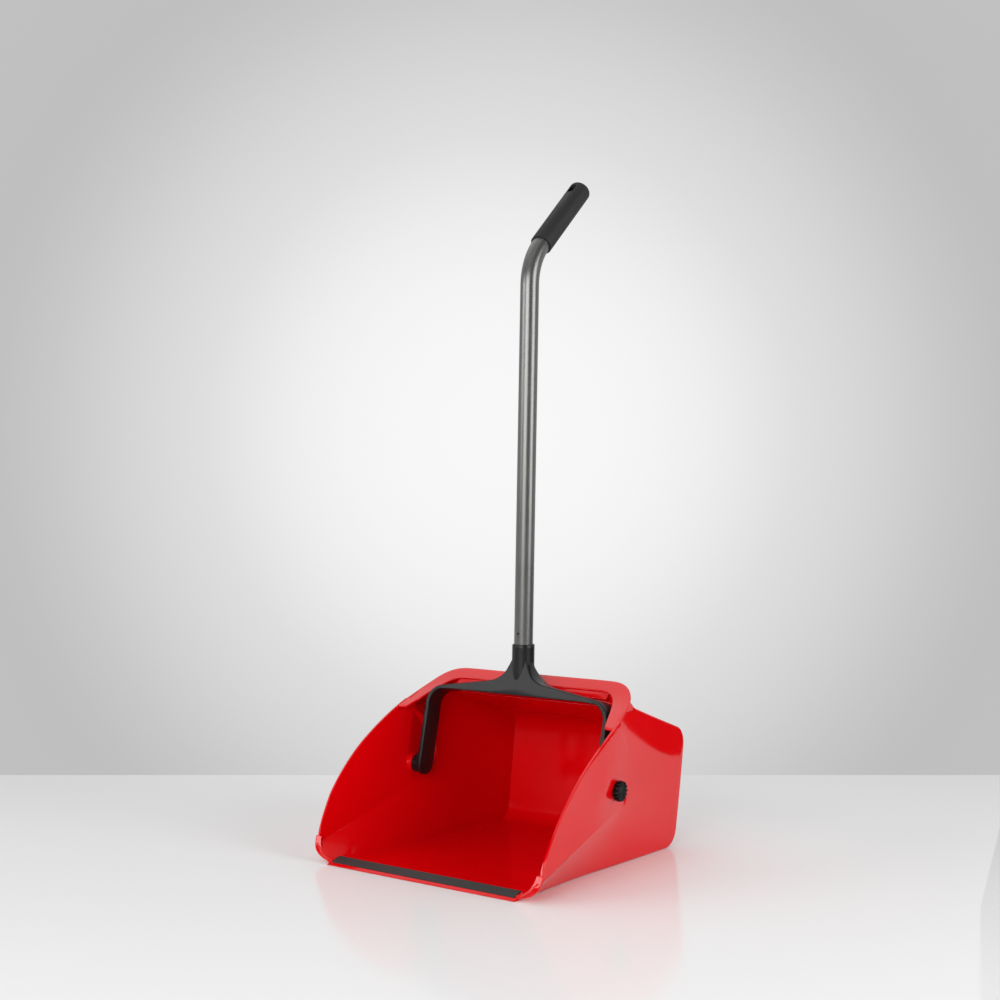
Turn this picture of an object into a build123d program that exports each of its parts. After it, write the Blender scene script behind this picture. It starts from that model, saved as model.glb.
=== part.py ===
from build123d import *
import math
import os

os.makedirs("parts", exist_ok=True)

# A lobby dustpan with a swinging yoke handle. +Z is up, the mouth faces -Y and X is the width.
# The origin is on the floor at the middle of the footprint. Distances called "setback" are
# measured from the front edge of the lip towards the back, and y_at turns them into Y.

# Pan body
PAN_DEPTH = 389.49  # from the lip's front edge to the rearmost point of the hood
WALL = 3.0
RIM_HALF_WIDTH = 184.0
LIP_HALF_WIDTH = 151.0
FLOOR_HALF_WIDTH = 143.0
RIM_TOP = 232.0
RIM_EAR = (178.0, 194.0)  # where the rounded upper corner of the rim starts, in front view
RIM_CORNER = (163.0, 222.0)
RIM_STRAIGHT = 124.0  # half length of the rim's straight top
REAR_CORNER_RADIUS = 26.0  # of the two rear corners in side view
TALL = 260.0  # height of the construction solids, above every edge of the pan

# Side view of the pan, as (setback, height)
RIM_START = (8.0, 14.0)
RIM_LOW = (43.0, 86.0)
RIM_MIDDLE = (97.0, 140.0)
RIM_HIGH = (162.0, 181.0)
RIM_SHOULDER = (225.0, 214.0)
RIM_CREST = (250.0, RIM_TOP)
HOOD_FRONT = (233.0, 203.0)
HOOD_REAR = (392.6, 155.0)
BACK_FOOT = (369.0, 0.0)

# Side walls: at each setback, the height of the fold, its half width and the flare above it
WALL_STATIONS = (
    # setback, floor half width, fold height, fold half width, outward slope above the fold
    (-12.0, LIP_HALF_WIDTH + 2, 16.0, 182.0, 0.12),
    (59.0, LIP_HALF_WIDTH - 3, 36.0, 176.0, 0.12),
    (143.0, FLOOR_HALF_WIDTH, 63.0, 170.0, 0.092),
    (217.0, FLOOR_HALF_WIDTH, 79.0, 159.0, 0.08),
    (PAN_DEPTH + 12.0, FLOOR_HALF_WIDTH - 1.0, 79.0, 142.5, 0.012),
)
PANEL_STEP = 2.0  # how far the front side panel stands proud of the rear side
PANEL_HEEL = (221.0, 81.0)
PANEL_OUTLINE = (
    (-12.0, 16.0),
    (59.0, 36.0),
    (143.0, 63.0),
    (205.0, 77.0),
    PANEL_HEEL,
    (224.0, 113.0),
    (219.0, 138.0),
    (209.0, 158.0),
    (188.0, 180.0),
    (172.0, 194.0),
    (-12.0, 194.0),
)

# Seat for the yoke in the top of the mouth
SEAT_HALF_WIDTH = 154.0
SEAT_SETBACK = 233.0
FLANGE_FOOT = 186.0  # height at which the flange dies into the side wall
FLANGE_INNER = 165.0  # half width of the arch inside the flange at its foot
FLANGE_SPRING = 220.0  # height of the arch
CRESCENT_TOP = 32.0

# Lip
LIP_EDGE = 1.2
RAMP_LENGTH = 20.0
RAMP_HEIGHT = 8.0
STRIP_START = 5.5
STRIP_END = 19.5
STRIP_THICKNESS = 1.6
STRIP_HALF_WIDTH = 147.0

# Pivot
PIVOT_SETBACK = 187.0
PIVOT_HEIGHT = 104.5
PIN_RADIUS = 5.0
PIN_CLEARANCE = 0.05
KNOB_RADIUS = 13.0
KNOB_RIBS = 14
BOSS_RADIUS = 15.5
BOSS_OUTER = 170.8  # |x| of the flat boss on the outside of the wall
BOSS_INNER = 160.6  # |x| of the flat boss on the inside of the wall
RUNNING_GAP = 0.4
KNOB_SEAT = BOSS_OUTER + RUNNING_GAP
KNOB_FACE = 178.6  # |x| of the knob's outer face
COLLAR_OUTER = BOSS_INNER - RUNNING_GAP
COLLAR_RADIUS = 12.0

# Yoke
YOKE_LEAN = 13.0  # degrees that the arms lean back
ARM_OUTER = 150.0
ARM_THICKNESS = 6.5
STRAP_DEPTH = 28.0
STRAP_THICKNESS = 5.5
ARM_BEND = 28.0
BAR_BOTTOM = 104.6  # along the lean, from the pivot
BAR_TOP_END = 109.0
BAR_TOP_KNEE = 118.4
KNEE_HALF_WIDTH = 60.0
WEB_TOP = 146.0
WEB_THICKNESS = 4.5
SOCKET_RADIUS = 15.0
SOCKET_BOTTOM = 214.0
SOCKET_TOP = 275.0

# Handle tube and grip
TUBE_RADIUS = 12.5
TUBE_WALL = 1.4
TUBE_LEAN = 1.65
TUBE_FOOT = (216.6, 238.0)
BEND_START_HEIGHT = 753.0
BEND_RADIUS = 80.0
GRIP_LEAN = 47.0
GRIP_RADIUS = 15.0
GRIP_LENGTH = 128.0
GRIP_SOLID_END = 33.0
HANG_SLOT_WIDTH = 9.0
HANG_SLOT_LENGTH = 17.0
FIT = 0.02  # radial clearance of the tube in the socket and the grip
ADJUST_HOLE_RADIUS = 1.6
ADJUST_HOLE_HEIGHT = 289.5
SCREW_HEIGHT = 256.0
SCREW_RADIUS = 2.0


def y_at(setback):
    return setback - PAN_DEPTH / 2


PIVOT = (0, y_at(PIVOT_SETBACK), PIVOT_HEIGHT)


def side(point):
    return (y_at(point[0]), point[1])


def on_line(a, b, setback):
    return (setback, a[1] + (b[1] - a[1]) * (setback - a[0]) / (b[0] - a[0]))


def wall_sections(inset, raised_floor):
    """Cross-sections of the pan's sides, moved inwards by inset, for a ruled loft."""
    sections = []
    for setback, floor_half, fold_height, fold_half, slope in WALL_STATIONS:
        top_half = fold_half + slope * (TALL - fold_height)
        right = [
            (floor_half - inset, raised_floor),
            (fold_half - inset, fold_height + raised_floor / 2),
            (top_half - inset, TALL),
        ]
        left = [(-x, z) for x, z in reversed(right)]
        with BuildSketch(Plane.XZ.offset(-y_at(setback))) as section:
            with BuildLine():
                Polyline(*right, *left, close=True)
            make_face()
        sections.append(section.sketch)
    return sections


# Construction solids of the pan: the space inside the outer skin and inside the inner skin
with BuildPart() as outer_sides:
    loft(wall_sections(0.0, 0.0), ruled=True)

with BuildPart() as panel_sides:
    loft(wall_sections(-PANEL_STEP, 0.0), ruled=True)

with BuildPart() as inner_sides:
    loft(wall_sections(WALL, WALL), ruled=True)

# Side-view outline of the whole bin, with the open mouth in front
with BuildPart() as outer_profile:
    with BuildSketch(Plane.YZ) as outer_sketch:
        with BuildLine():
            ThreePointArc(side(RIM_START), side(RIM_LOW), side(RIM_MIDDLE))
            ThreePointArc(side(RIM_MIDDLE), side(RIM_HIGH), side(RIM_SHOULDER))
            hood_end = on_line(HOOD_FRONT, HOOD_REAR, RIM_CREST[0])
            rest = [RIM_SHOULDER, RIM_CREST, hood_end, HOOD_REAR, BACK_FOOT]
            rest += [(0, 0), (0, LIP_EDGE), RIM_START]
            Polyline(*[side(p) for p in rest])
        make_face()
        fillet(outer_sketch.vertices().sort_by(Axis.X)[-2:], radius=REAR_CORNER_RADIUS)
    extrude(amount=RIM_HALF_WIDTH + 20, both=True)

with BuildPart() as inner_profile:
    with BuildSketch(Plane.YZ) as inner_sketch:
        with BuildLine():
            roof_front = (SEAT_SETBACK - 260, HOOD_FRONT[1] + 78 - WALL)
            roof_rear = (HOOD_REAR[0] - WALL, HOOD_REAR[1] - WALL * 0.6)
            foot = (BACK_FOOT[0] - WALL, WALL)
            corners = [roof_front, roof_rear, foot, (-60, WALL), (-60, TALL)]
            Polyline(*[side(p) for p in corners], close=True)
        make_face()
        fillet(inner_sketch.vertices().sort_by(Axis.X)[-2:], radius=REAR_CORNER_RADIUS - WALL)
    extrude(amount=RIM_HALF_WIDTH + 20, both=True)

# Front-view outline of the rim, which rounds the four corners of the mouth
FRONT_PLANE = Plane.XZ.offset(PAN_DEPTH / 2 + 20)
THROUGH = -(PAN_DEPTH + 60)
with BuildPart() as front_outline:
    with BuildSketch(FRONT_PLANE) as outline_sketch:
        with BuildLine():
            Line((0, 0), (LIP_HALF_WIDTH, 0))
            ThreePointArc((LIP_HALF_WIDTH, 0), (175, 7), (RIM_HALF_WIDTH, 26))
            Polyline((RIM_HALF_WIDTH, 26), (RIM_HALF_WIDTH, 146), RIM_EAR)
            ThreePointArc(RIM_EAR, RIM_CORNER, (RIM_STRAIGHT, RIM_TOP))
            Line((RIM_STRAIGHT, RIM_TOP), (0, RIM_TOP))
            mirror(about=Plane.YZ)
        make_face()
    extrude(amount=THROUGH)

# The rim slab: a sheet as thick as the wall that follows the side view of the mouth
RIM_POINTS = [(1, LIP_EDGE), RIM_START, RIM_LOW, RIM_MIDDLE, RIM_HIGH, RIM_SHOULDER, RIM_CREST]
with BuildPart() as rim_slab:
    with BuildSketch(Plane.YZ):
        with BuildLine():
            near = [side(p) for p in RIM_POINTS]
            far = [side((s + WALL * 0.7, z - WALL * 0.7)) for s, z in RIM_POINTS]
            for edge in (near, far):
                Line(edge[0], edge[1])
                ThreePointArc(edge[1], edge[2], edge[3])
                ThreePointArc(edge[3], edge[4], edge[5])
                Line(edge[5], edge[6])
            Line(near[0], far[0])
            Line(near[6], far[6])
        make_face()
    extrude(amount=RIM_HALF_WIDTH + 5, both=True)

# Front view of the flange, an arch round the seat, with the two crescents at the lower corners
with BuildPart() as flange_area:
    with BuildSketch(FRONT_PLANE):
        with BuildLine():
            Polyline((FLANGE_INNER, FLANGE_FOOT), (RIM_HALF_WIDTH, FLANGE_FOOT), (RIM_HALF_WIDTH, TALL))
            Line((RIM_HALF_WIDTH, TALL), (0, TALL))
            Polyline((0, TALL), (0, FLANGE_SPRING), (FLANGE_INNER - 38, FLANGE_SPRING))
            arch_start = (FLANGE_INNER - 38, FLANGE_SPRING)
            arch_middle = (FLANGE_INNER - 15, FLANGE_SPRING - 12)
            ThreePointArc(arch_start, arch_middle, (FLANGE_INNER, FLANGE_FOOT))
        make_face()
        with BuildLine():
            Line((LIP_HALF_WIDTH - 1, 0), (LIP_HALF_WIDTH - 1, 6))
            ThreePointArc((LIP_HALF_WIDTH - 1, 6), (167, 14), (174, CRESCENT_TOP))
            Polyline((174, CRESCENT_TOP), (RIM_HALF_WIDTH, CRESCENT_TOP), (RIM_HALF_WIDTH, 0))
            Line((RIM_HALF_WIDTH, 0), (LIP_HALF_WIDTH - 1, 0))
        make_face()
        mirror(about=Plane.YZ)
    extrude(amount=THROUGH)

# Side view of the front side panel, whose rear edge rounds the pivot
with BuildPart() as panel_area:
    with BuildSketch(Plane.YZ) as panel_sketch:
        with BuildLine():
            Polyline(*[side(p) for p in PANEL_OUTLINE], close=True)
        make_face()
        heel = panel_sketch.vertices().sort_by_distance(side(PANEL_HEEL))[0]
        fillet(heel, radius=14)
    extrude(amount=RIM_HALF_WIDTH + 20, both=True)

# The space behind the seat wall and above the hood, which is open to the back
with BuildPart() as attic_area:
    with BuildSketch(Plane.YZ):
        with BuildLine():
            wall_back = SEAT_SETBACK + WALL
            low = on_line(HOOD_FRONT, HOOD_REAR, wall_back)
            high = on_line(HOOD_FRONT, HOOD_REAR, 300)
            Polyline(*[side(p) for p in (low, (wall_back, TALL), (300, TALL), high)], close=True)
        make_face()
    extrude(amount=RIM_HALF_WIDTH + 20, both=True)

# The ramp of the lip, as a side view
with BuildPart() as lip_ramp:
    with BuildSketch(Plane.YZ):
        with BuildLine():
            ramp = [(0, 0), (0, LIP_EDGE), (RAMP_LENGTH, RAMP_HEIGHT)]
            ramp += [(RAMP_LENGTH + WALL, WALL), (RAMP_LENGTH + WALL, 0)]
            Polyline(*[side(p) for p in ramp], close=True)
        make_face()
    extrude(amount=LIP_HALF_WIDTH, both=True)

# Pan body
bin_skin = outer_sides.part & outer_profile.part & front_outline.part
side_panels = panel_sides.part & panel_area.part & outer_profile.part & front_outline.part
cavity = inner_sides.part & inner_profile.part
attic = inner_sides.part & attic_area.part
flange = rim_slab.part & flange_area.part & front_outline.part
with BuildPart() as pan_shell:
    add(bin_skin)
    add(side_panels)
    add(cavity, mode=Mode.SUBTRACT)
    add(attic, mode=Mode.SUBTRACT)
    with Locations((0, y_at(SEAT_SETBACK), HOOD_FRONT[1] - 30)):
        Box(
            2 * SEAT_HALF_WIDTH,
            80,
            80,
            align=(Align.CENTER, Align.MAX, Align.MIN),
            mode=Mode.SUBTRACT,
        )
    add(flange)
    add(lip_ramp.part)
    for sign in (1, -1):
        with BuildSketch(Plane(origin=PIVOT, x_dir=(0, 1, 0), z_dir=(sign, 0, 0)).offset(BOSS_INNER)):
            Circle(BOSS_RADIUS)
        extrude(amount=BOSS_OUTER - BOSS_INNER)
    with BuildSketch(Plane.YZ):
        with Locations(side((PIVOT_SETBACK, PIVOT_HEIGHT))):
            Circle(PIN_RADIUS + PIN_CLEARANCE)
    extrude(amount=RIM_HALF_WIDTH + 20, both=True, mode=Mode.SUBTRACT)
pan_shell.part.label = "pan_shell"
export_step(pan_shell.part, "parts/pan_shell.step")

# Rubber strip on the ramp
ramp_slope = math.atan2(RAMP_HEIGHT - LIP_EDGE, RAMP_LENGTH)


def on_ramp(setback, height):
    """A point at a height square to the ramp, above the ramp's surface at this setback."""
    foot = LIP_EDGE + setback * math.tan(ramp_slope)
    return (setback - height * math.sin(ramp_slope), foot + height * math.cos(ramp_slope))


with BuildPart() as lip_strip:
    with BuildSketch(Plane.YZ) as strip_sketch:
        with BuildLine():
            start, end = STRIP_START, STRIP_END
            ring = [on_ramp(start, 0), on_ramp(start + 0.6, STRIP_THICKNESS * 0.7)]
            ring += [on_ramp(end, STRIP_THICKNESS), on_ramp(end, 0)]
            Polyline(*[side(p) for p in ring], close=True)
        make_face()
    extrude(amount=STRIP_HALF_WIDTH, both=True)
lip_strip.part.label = "lip_strip"
export_step(lip_strip.part, "parts/lip_strip.step")

# Yoke: arms and strap are drawn in a plane through the pivot that leans back
YOKE_PLANE = Plane(origin=PIVOT, x_dir=(1, 0, 0), z_dir=(0, -1, 0)).rotated((-YOKE_LEAN, 0, 0))
SOCKET_AXIS = (0, y_at(TUBE_FOOT[0]), TUBE_FOOT[1])
TUBE_PLANE = Plane(origin=SOCKET_AXIS, x_dir=(1, 0, 0), z_dir=(0, 0, 1)).rotated((-TUBE_LEAN, 0, 0))

with BuildPart() as yoke:
    # strap: up each arm, round the bend and along the top edge of the web
    with BuildSketch(YOKE_PLANE):
        with BuildLine():
            outer = [
                (ARM_OUTER, 0),
                (ARM_OUTER, BAR_TOP_END - ARM_BEND),
                (ARM_OUTER - ARM_BEND, BAR_TOP_END),
                (KNEE_HALF_WIDTH, BAR_TOP_KNEE),
                (SOCKET_RADIUS + 3, BAR_TOP_KNEE + 13),
            ]
            middle_out = (ARM_OUTER - ARM_BEND * 0.3, BAR_TOP_END - ARM_BEND * 0.3)
            Line(outer[0], outer[1])
            ThreePointArc(outer[1], middle_out, outer[2])
            Line(outer[2], outer[3])
            ThreePointArc(outer[3], (30, BAR_TOP_KNEE + 4.5), outer[4])
            inner_radius = ARM_BEND - STRAP_THICKNESS
            inner = [
                (ARM_OUTER - ARM_THICKNESS, 0),
                (ARM_OUTER - ARM_THICKNESS, BAR_TOP_END - ARM_BEND),
                (ARM_OUTER - ARM_BEND, BAR_TOP_END - STRAP_THICKNESS),
                (KNEE_HALF_WIDTH, BAR_TOP_KNEE - STRAP_THICKNESS),
                (SOCKET_RADIUS + 3, BAR_TOP_KNEE + 13 - STRAP_THICKNESS - 3),
            ]
            middle_in = (
                ARM_OUTER - ARM_BEND + (ARM_BEND - ARM_THICKNESS) * 0.7,
                BAR_TOP_END - ARM_BEND + inner_radius * 0.7,
            )
            Line(inner[0], inner[1])
            ThreePointArc(inner[1], middle_in, inner[2])
            Line(inner[2], inner[3])
            ThreePointArc(inner[3], (30, BAR_TOP_KNEE + 4.5 - STRAP_THICKNESS), inner[4])
            Line(outer[0], inner[0])
            Line(outer[4], inner[4])
        make_face()
        mirror(about=Plane.YZ)
    extrude(amount=STRAP_DEPTH / 2, both=True)
    # web: the flat front of the T
    with BuildSketch(YOKE_PLANE.offset(STRAP_DEPTH / 2 - WEB_THICKNESS)):
        with BuildLine():
            web_end = (ARM_OUTER - ARM_BEND - 4, BAR_BOTTOM)
            Line((0, BAR_BOTTOM), web_end)
            Line(web_end, outer[2])
            Line(outer[2], outer[3])
            ThreePointArc(outer[3], (27, BAR_TOP_KNEE + 7), (10, WEB_TOP))
            Line((10, WEB_TOP), (0, WEB_TOP))
            mirror(about=Plane.YZ)
        make_face()
    extrude(amount=WEB_THICKNESS)
    # round ends of the arms
    with BuildSketch(Plane.YZ):
        with Locations(side((PIVOT_SETBACK, PIVOT_HEIGHT))):
            Circle(STRAP_DEPTH / 2)
    extrude(amount=ARM_OUTER, both=True)
    with BuildSketch(Plane.YZ):
        with Locations(side((PIVOT_SETBACK, PIVOT_HEIGHT))):
            Circle(STRAP_DEPTH / 2 + 1)
    extrude(amount=ARM_OUTER - ARM_THICKNESS, both=True, mode=Mode.SUBTRACT)
    # socket
    with BuildSketch(TUBE_PLANE.offset(SOCKET_BOTTOM - TUBE_FOOT[1])):
        Circle(SOCKET_RADIUS)
    extrude(amount=SOCKET_TOP - SOCKET_BOTTOM)
    with BuildSketch(TUBE_PLANE):
        Circle(TUBE_RADIUS + FIT)
    extrude(amount=SOCKET_TOP - TUBE_FOOT[1] + 5, mode=Mode.SUBTRACT)
    # bores for the pivot pins and for the screw behind the socket
    with BuildSketch(Plane.YZ):
        with Locations(side((PIVOT_SETBACK, PIVOT_HEIGHT))):
            Circle(PIN_RADIUS + FIT)
    extrude(amount=ARM_OUTER + 5, both=True, mode=Mode.SUBTRACT)
    with BuildSketch(Plane.XZ.offset(-y_at(TUBE_FOOT[0]))):
        with Locations((0, SCREW_HEIGHT)):
            Circle(SCREW_RADIUS + FIT)
    extrude(amount=-40, mode=Mode.SUBTRACT)
yoke.part.label = "yoke"
export_step(yoke.part, "parts/yoke.step")


def ribbed_disc(radius, ribs, plane, depth):
    """A disc on the plane with ribs round its edge."""
    with BuildPart() as disc:
        with BuildSketch(plane):
            Circle(radius)
            with PolarLocations(radius + 0.2, ribs):
                Circle(math.pi * radius / ribs * 0.42, mode=Mode.SUBTRACT)
        extrude(amount=depth)
    return disc.part


# Pivots: on each side a knob with its pin, and a collar between the arm and the wall
for name, sign in (("right", 1), ("left", -1)):
    base = Plane(origin=PIVOT, x_dir=(0, 1, 0), z_dir=(sign, 0, 0))
    head = ribbed_disc(KNOB_RADIUS, KNOB_RIBS, base.offset(KNOB_SEAT), KNOB_FACE - KNOB_SEAT)
    with BuildPart() as knob:
        add(head)
        with BuildSketch(base.offset(KNOB_FACE - 2.5)):
            Circle(KNOB_RADIUS - 4.5)
        extrude(amount=5, mode=Mode.SUBTRACT)
        with BuildSketch(base.offset(ARM_OUTER - ARM_THICKNESS)):
            Circle(PIN_RADIUS)
        extrude(amount=KNOB_SEAT - ARM_OUTER + ARM_THICKNESS)
    knob.part.label = "pivot_knob_" + name
    export_step(knob.part, "parts/pivot_knob_" + name + ".step")
    spacer = ribbed_disc(COLLAR_RADIUS, KNOB_RIBS, base.offset(ARM_OUTER), COLLAR_OUTER - ARM_OUTER)
    with BuildPart() as collar:
        add(spacer)
        with BuildSketch(base.offset(ARM_OUTER - 1)):
            Circle(PIN_RADIUS + FIT)
        extrude(amount=COLLAR_OUTER - ARM_OUTER + 2, mode=Mode.SUBTRACT)
    collar.part.label = "pivot_collar_" + name
    export_step(collar.part, "parts/pivot_collar_" + name + ".step")

# Handle tube: straight, one bend backwards, then straight into the grip
lean = math.radians(TUBE_LEAN)
grip_lean = math.radians(GRIP_LEAN)
bend_start = (TUBE_FOOT[0] + (BEND_START_HEIGHT - TUBE_FOOT[1]) * math.tan(lean), BEND_START_HEIGHT)
bend_end = (
    bend_start[0] + BEND_RADIUS * (math.cos(lean) - math.cos(grip_lean)),
    bend_start[1] + BEND_RADIUS * (math.sin(grip_lean) - math.sin(lean)),
)
tube_run = GRIP_LENGTH - GRIP_SOLID_END
tube_end = (bend_end[0] + tube_run * math.sin(grip_lean), bend_end[1] + tube_run * math.cos(grip_lean))
with BuildPart() as handle_tube:
    with BuildLine(Plane.YZ) as tube_path:
        straight = Line(side(TUBE_FOOT), side(bend_start))
        bend = TangentArc(side(bend_start), side(bend_end), tangent=straight % 1)
        Line(side(bend_end), side(tube_end))
    with BuildSketch(TUBE_PLANE):
        Circle(TUBE_RADIUS)
        Circle(TUBE_RADIUS - TUBE_WALL, mode=Mode.SUBTRACT)
    sweep()
    with BuildSketch(Plane.XZ.offset(-y_at(TUBE_FOOT[0]))):
        with Locations((0, ADJUST_HOLE_HEIGHT)):
            Circle(ADJUST_HOLE_RADIUS)
    extrude(amount=40, mode=Mode.SUBTRACT)
    with BuildSketch(Plane.XZ.offset(-y_at(TUBE_FOOT[0]))):
        with Locations((0, SCREW_HEIGHT)):
            Circle(SCREW_RADIUS + FIT)
    extrude(amount=-40, mode=Mode.SUBTRACT)
handle_tube.part.label = "handle_tube"
export_step(handle_tube.part, "parts/handle_tube.step")

# Grip with an oval hanging slot through its solid end
grip_origin = (0, *side(bend_end))
GRIP_PLANE = Plane(origin=grip_origin, x_dir=(1, 0, 0), z_dir=(0, math.sin(grip_lean), math.cos(grip_lean)))
with BuildPart() as hand_grip:
    with BuildSketch(GRIP_PLANE):
        Circle(GRIP_RADIUS)
    extrude(amount=GRIP_LENGTH)
    fillet(hand_grip.edges().filter_by(GeomType.CIRCLE).sort_by_distance(Vector(*grip_origin))[-1], radius=6)
    with BuildSketch(GRIP_PLANE):
        Circle(TUBE_RADIUS + FIT)
    extrude(amount=GRIP_LENGTH - GRIP_SOLID_END, mode=Mode.SUBTRACT)
    slot_middle = GRIP_LENGTH - GRIP_SOLID_END / 2 - 1
    slot_origin = GRIP_PLANE.from_local_coords(Vector(0, 0, slot_middle))
    slot_plane = Plane(origin=slot_origin, x_dir=GRIP_PLANE.z_dir, z_dir=GRIP_PLANE.y_dir)
    with BuildSketch(slot_plane):
        SlotOverall(HANG_SLOT_LENGTH, HANG_SLOT_WIDTH)
    extrude(amount=GRIP_RADIUS + 5, both=True, mode=Mode.SUBTRACT)
hand_grip.part.label = "hand_grip"
export_step(hand_grip.part, "parts/hand_grip.step")

# Screw through the back of the socket into the tube
screw_setback = TUBE_FOOT[0] + (SCREW_HEIGHT - TUBE_FOOT[1]) * math.tan(lean)
SCREW_PLANE = Plane(origin=(0, y_at(screw_setback), SCREW_HEIGHT), x_dir=(1, 0, 0), z_dir=(0, 1, 0))
with BuildPart() as tube_screw:
    with BuildSketch(SCREW_PLANE.offset(TUBE_RADIUS - TUBE_WALL - 1.5)):
        Circle(SCREW_RADIUS)
    extrude(amount=SOCKET_RADIUS - TUBE_RADIUS + TUBE_WALL + 2.5)
    with BuildSketch(SCREW_PLANE.offset(SOCKET_RADIUS + 0.6)):
        Circle(3.8)
    extrude(amount=2.2)
    fillet(tube_screw.faces().sort_by(Axis.Y)[-1].edges(), radius=1.2)
    with BuildSketch(SCREW_PLANE.offset(SOCKET_RADIUS + 1.6)):
        Rectangle(4.4, 0.9)
        Rectangle(0.9, 4.4)
    extrude(amount=3, mode=Mode.SUBTRACT)
tube_screw.part.label = "tube_screw"
export_step(tube_screw.part, "parts/tube_screw.step")
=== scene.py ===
import math

import bmesh
import bpy
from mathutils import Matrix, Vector


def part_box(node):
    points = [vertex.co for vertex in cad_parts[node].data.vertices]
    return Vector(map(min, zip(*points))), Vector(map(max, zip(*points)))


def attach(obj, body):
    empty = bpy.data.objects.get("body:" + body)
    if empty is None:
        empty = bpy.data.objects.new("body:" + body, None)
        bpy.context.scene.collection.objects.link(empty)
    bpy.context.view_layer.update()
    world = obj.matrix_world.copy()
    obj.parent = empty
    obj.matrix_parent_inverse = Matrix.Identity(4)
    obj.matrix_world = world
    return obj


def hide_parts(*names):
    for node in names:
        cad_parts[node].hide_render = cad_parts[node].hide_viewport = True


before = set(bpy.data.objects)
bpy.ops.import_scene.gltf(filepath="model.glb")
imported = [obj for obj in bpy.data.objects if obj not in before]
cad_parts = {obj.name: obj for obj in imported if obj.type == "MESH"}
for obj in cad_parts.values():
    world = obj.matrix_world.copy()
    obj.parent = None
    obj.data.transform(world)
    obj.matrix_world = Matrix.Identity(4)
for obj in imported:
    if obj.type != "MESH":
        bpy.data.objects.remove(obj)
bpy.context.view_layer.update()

MM = 0.001

# ---------------------------------------------------------------- driving dimensions, in mm
# A setback is the distance behind the lip's front edge, whose Y comes from the CAD box.
PAN_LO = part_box("pan_shell")[0]
LIP_Y = PAN_LO.y / MM
KNOB_LO, KNOB_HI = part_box("pivot_knob_right")
PIVOT = ((KNOB_LO.y + KNOB_HI.y) / 2 / MM, (KNOB_LO.z + KNOB_HI.z) / 2 / MM)
SIDES = (("right", 1), ("left", -1))
SKIN = 3.0  # wall of the bin
EDGE = 3.0  # rounding where the sides meet the floor, the back and the hood
CORNER = 26.0  # rounding of the rear outline
BACK_FOOT = (367.4, 0.0)  # side-view corners of the back and the hood, before rounding
REAR_TOP = (391.0, 154.4)
HOOD_FRONT = (233.0, 203.2)
SKIN_START = 6.0
FOLD_START = 10.4
FOLD_END = 205.0
FOLD_END_Z = 77.0
FOLD_GONE = 260.0  # from FOLD_END to here the fold rounds away
FOLD_SOFT = 9.0
FOLD_TURN = 0.12
HEEL_TOP_Z = 113.0
STEP_TOP_Z = 184.5
RIM_JOIN = 184.0  # setback at which the panel's rear edge meets the rim
RIM_JOIN_Z = 186.0
RIM_END = 262.0
PANEL_PROUD = 3.4
GROOVE_DEPTH = 1.3
GROOVE_COLUMNS = (0.0, 1.6, 3.4)

# setback, floor half width, fold height, fold half width, outward slope above the fold
STATIONS = (
    (-12.0, 153.0, 16.0, 182.0, 0.12),
    (59.0, 148.0, 36.0, 176.0, 0.12),
    (143.0, 143.0, 63.0, 170.0, 0.092),
    (217.0, 143.0, 79.0, 159.0, 0.08),
    (300.0, 142.6, 79.0, 150.5, 0.045),
    (401.5, 142.0, 79.0, 142.5, 0.012),
)
# setback and height along the rim of the mouth
RIM = (
    (0, 1.2), (3, 5.6), (8, 14), (10, 20.5), (20, 46), (31, 67), (43, 86), (69, 115), (97, 140),
    (130, 162.5), (162, 181), (195, 198), (225, 214), (250, 232), (262, 240.6),
)
# setback and height of the side panel's rear edge, below and above its rearmost point
HEEL = ((205, 77), (210, 78.1), (214.5, 80), (218.3, 84.4), (221, 92), (223.1, 102), (224, 113))
REAR_EDGE = ((224, 113), (222.8, 126), (219, 138.5), (213.5, 150), (206, 162.5), (196.5, 174.5), (184, 186))
# heights of the rows on the back, closest together just above the fold's end
BACK_ROWS = (
    30, 38, 46, 54, 62, 70, 77, 77.5, 78.3, 79.4, 81, 83.2, 86, 89.5, 94, 99, 104, 109, 113, 118, 123, 128,
)
# half width and height along the flange and along the crescents at the lip, inner and outer edge
FLANGE_IN = (
    (0, 220), (60, 220), (108, 220), (124, 219), (135, 215), (143.5, 208.5), (150.5, 200.5), (157, 192),
    (163, 184.5),
)
FLANGE_OUT = (
    (0, 232), (60, 232), (112, 232), (134, 230.8), (149.5, 226), (160.5, 218.3), (168.2, 208.5), (175, 196),
    (180.4, 183),
)
CRESCENT_IN = ((147.5, 6.2), (152, 7.0), (160, 10.2), (167, 15.8), (171.6, 23), (173.8, 32))
CRESCENT_OUT = ((150, 2.6), (161, 4.4), (171.5, 8.6), (178.8, 15.2), (182.2, 23.4), (183.2, 32))
# setback and height round the section of the lip's ramp
RAMP = ((0.0, 0.3), (0.25, 1.2), (20.0, 8.0), (21.2, 7.6), (24.5, 2.2), (24.5, 0.3))
# distance from the middle plane and radius of the boss round each pivot
BOSS = ((160.6, 0), (160.6, 12.2), (161.2, 13.2), (165, 13.4), (169.4, 13.0), (170.2, 12.2), (170.2, 0))

LEAN = math.radians(13.0)  # the yoke's lean from the pivots to the crossbar
ARM_OUT = 150.0  # half width over the arms
ARM_WALL = 6.5
BAR_WALL = 5.5
BEND = 28.0  # outer radius from arm to crossbar, and its centre
BEND_U = 122.0
BEND_W = 81.0
HALF_DEPTH = 14.0
WEB_WALL = 4.6
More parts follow.
